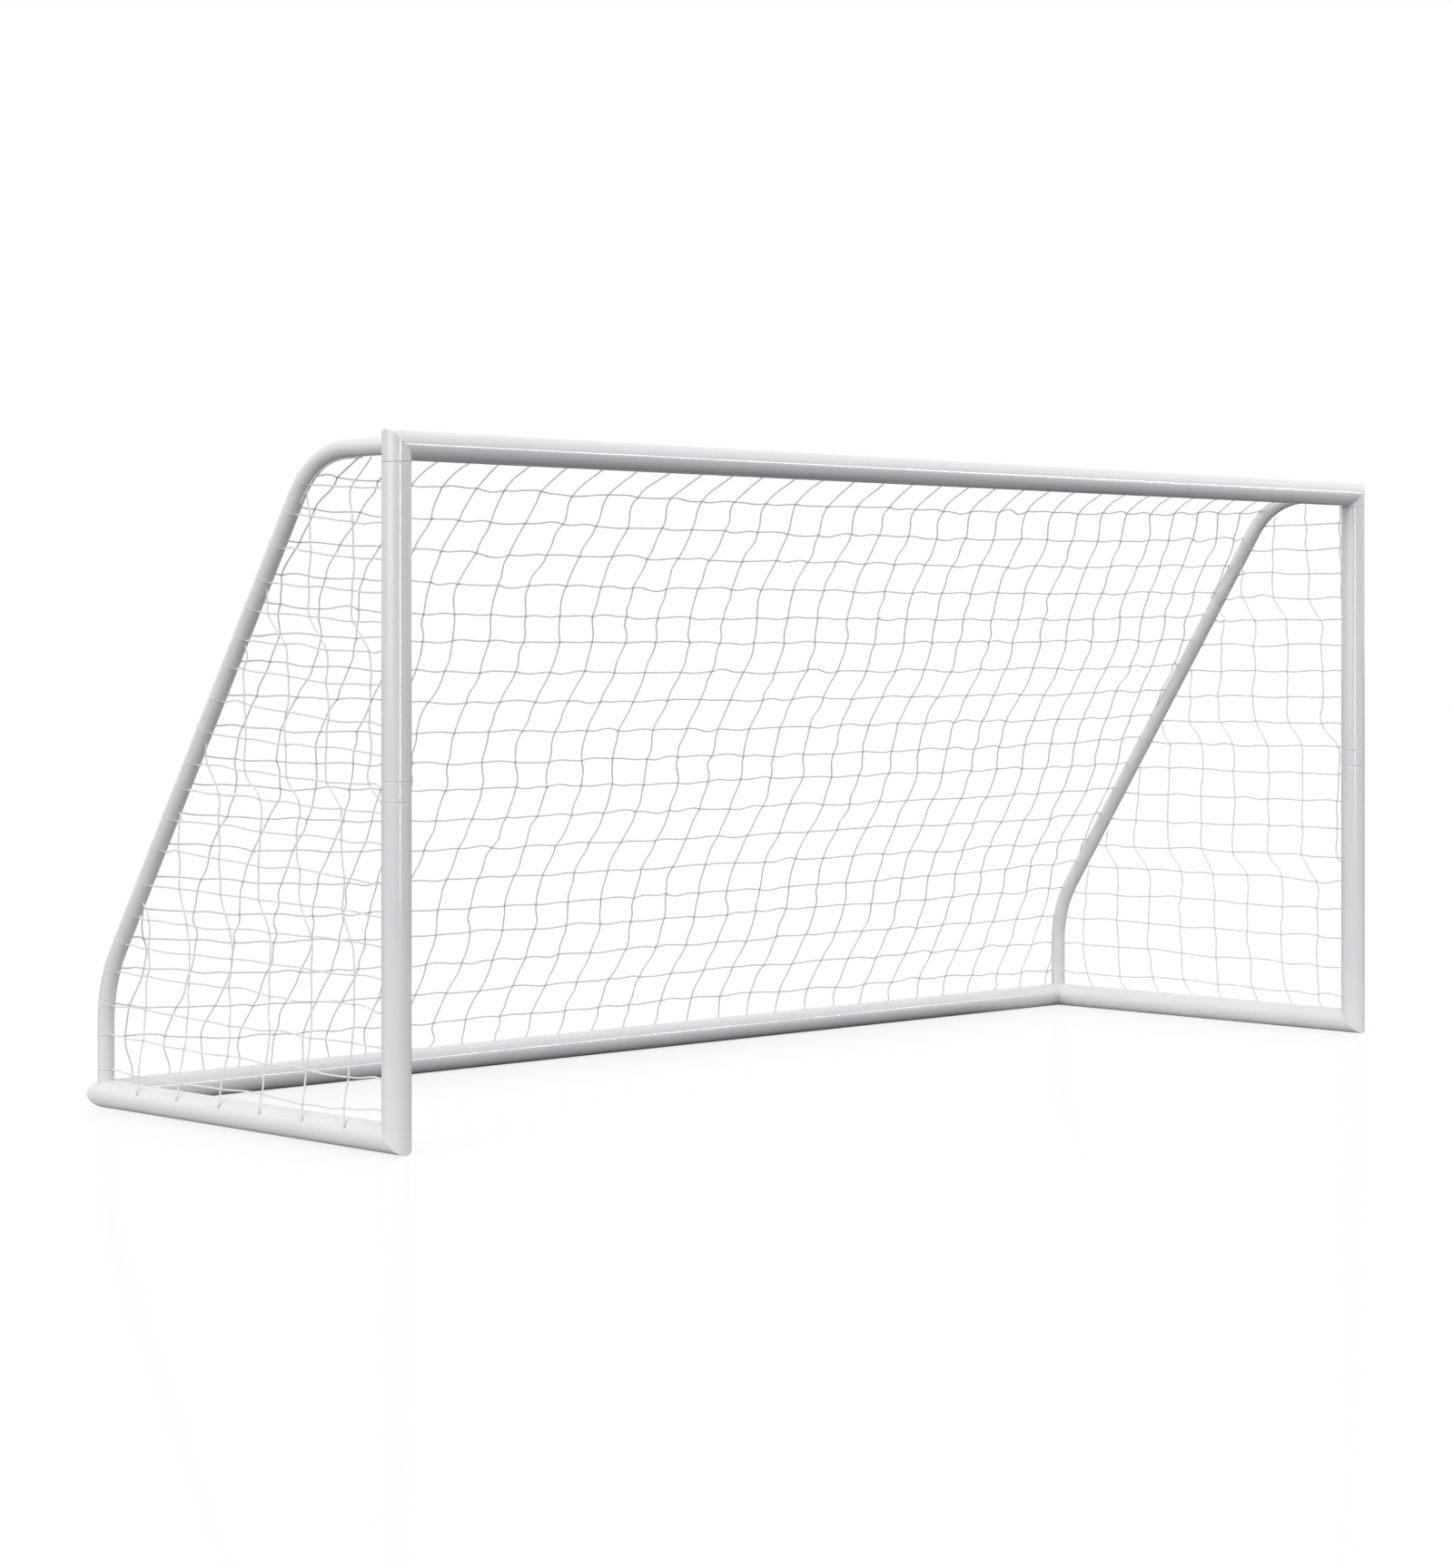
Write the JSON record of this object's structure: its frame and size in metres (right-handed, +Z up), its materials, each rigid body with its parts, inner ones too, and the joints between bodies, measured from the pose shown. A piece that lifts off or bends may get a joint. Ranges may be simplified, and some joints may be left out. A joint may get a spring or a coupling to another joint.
{
  "type": "portable soccer goal",
  "caption": "Free-standing tubular goal with mitred corners, bent stays, ground bars, sprung locks in the tube joints, and a net over the sides, roof and back.",
  "frame": {"origin": "on the ground, under the middle of the goal's box", "axes": "+X along the crossbar, +Y from the mouth to the back of the net, +Z up"},
  "size_m": [4.877, 1.575, 2.134],
  "materials": {
    "white_paint": "gloss white powder coat",
    "zinc_plate": "zinc plate",
    "spring_steel": "polished spring steel",
    "net_twine": "knotted white twine"
  },
  "bodies": {
    "goal": {"arm_sleeve_left": "zinc_plate", "arm_sleeve_right": "zinc_plate", "corner_sleeve_left": "zinc_plate", "corner_sleeve_right": "zinc_plate", "corner_stub_left": "white_paint", "corner_stub_right": "white_paint", "coupling_ring_left": "white_paint", "coupling_ring_right": "white_paint", "coupling_sleeve_left": "zinc_plate", "coupling_sleeve_right": "zinc_plate", "crossbar": "white_paint", "foot_sleeve_left": "zinc_plate", "foot_sleeve_right": "zinc_plate", "foot_stub_left": "white_paint", "foot_stub_right": "white_paint", "leaf_arm_left": "spring_steel", "leaf_arm_right": "spring_steel", "leaf_corner_left": "spring_steel", "leaf_corner_right": "spring_steel", "leaf_foot_left": "spring_steel", "leaf_foot_right": "spring_steel", "leaf_post_lower_left": "spring_steel", "leaf_post_lower_right": "spring_steel", "leaf_post_upper_left": "spring_steel", "leaf_post_upper_right": "spring_steel", "net_back": "net_twine", "net_roof": "net_twine", "net_side_left": "net_twine", "net_side_right": "net_twine", "post_lower_left": "white_paint", "post_lower_right": "white_paint", "post_upper_left": "white_paint", "post_upper_right": "white_paint", "rear_bar": "white_paint", "side_bar_left": "white_paint", "side_bar_right": "white_paint", "stay_left": "white_paint", "stay_right": "white_paint"},
    "button_corner_left": {"button_corner_left": "spring_steel"},
    "button_post_upper_left": {"button_post_upper_left": "spring_steel"},
    "button_post_lower_left": {"button_post_lower_left": "spring_steel"},
    "button_arm_left": {"button_arm_left": "spring_steel"},
    "button_foot_left": {"button_foot_left": "spring_steel"},
    "button_corner_right": {"button_corner_right": "spring_steel"},
    "button_post_upper_right": {"button_post_upper_right": "spring_steel"},
    "button_post_lower_right": {"button_post_lower_right": "spring_steel"},
    "button_arm_right": {"button_arm_right": "spring_steel"},
    "button_foot_right": {"button_foot_right": "spring_steel"}
  },
  "joints": [
    {"name": "press_corner_left", "type": "slide", "parent": "goal", "child": "button_corner_left", "axis": [-0.5, 0.866, 0], "range_m": [-0.0075, 0], "stiffness_N_per_m": 1000, "springref_m": 0.005, "deforming": ["leaf_corner_left"]},
    {"name": "press_post_upper_left", "type": "slide", "parent": "goal", "child": "button_post_upper_left", "axis": [-0.5, 0.866, 0], "range_m": [-0.0075, 0], "stiffness_N_per_m": 1000, "springref_m": 0.005, "deforming": ["leaf_post_upper_left"]},
    {"name": "press_post_lower_left", "type": "slide", "parent": "goal", "child": "button_post_lower_left", "axis": [-0.5, 0.866, 0], "range_m": [-0.0075, 0], "stiffness_N_per_m": 1000, "springref_m": 0.005, "deforming": ["leaf_post_lower_left"]},
    {"name": "press_arm_left", "type": "slide", "parent": "goal", "child": "button_arm_left", "axis": [0, 0, 1], "range_m": [-0.0075, 0], "stiffness_N_per_m": 1000, "springref_m": 0.005, "deforming": ["leaf_arm_left"]},
    {"name": "press_foot_left", "type": "slide", "parent": "goal", "child": "button_foot_left", "axis": [0, 1, 0], "range_m": [-0.0075, 0], "stiffness_N_per_m": 1000, "springref_m": 0.005, "deforming": ["leaf_foot_left"]},
    {"name": "press_corner_right", "type": "slide", "parent": "goal", "child": "button_corner_right", "axis": [0.5, 0.866, 0], "range_m": [-0.0075, 0], "stiffness_N_per_m": 1000, "springref_m": 0.005, "deforming": ["leaf_corner_right"]},
    {"name": "press_post_upper_right", "type": "slide", "parent": "goal", "child": "button_post_upper_right", "axis": [0.5, 0.866, 0], "range_m": [-0.0075, 0], "stiffness_N_per_m": 1000, "springref_m": 0.005, "deforming": ["leaf_post_upper_right"]},
    {"name": "press_post_lower_right", "type": "slide", "parent": "goal", "child": "button_post_lower_right", "axis": [0.5, 0.866, 0], "range_m": [-0.0075, 0], "stiffness_N_per_m": 1000, "springref_m": 0.005, "deforming": ["leaf_post_lower_right"]},
    {"name": "press_arm_right", "type": "slide", "parent": "goal", "child": "button_arm_right", "axis": [0, 0, 1], "range_m": [-0.0075, 0], "stiffness_N_per_m": 1000, "springref_m": 0.005, "deforming": ["leaf_arm_right"]},
    {"name": "press_foot_right", "type": "slide", "parent": "goal", "child": "button_foot_right", "axis": [0, 1, 0], "range_m": [-0.0075, 0], "stiffness_N_per_m": 1000, "springref_m": 0.005, "deforming": ["leaf_foot_right"]}
  ]
}
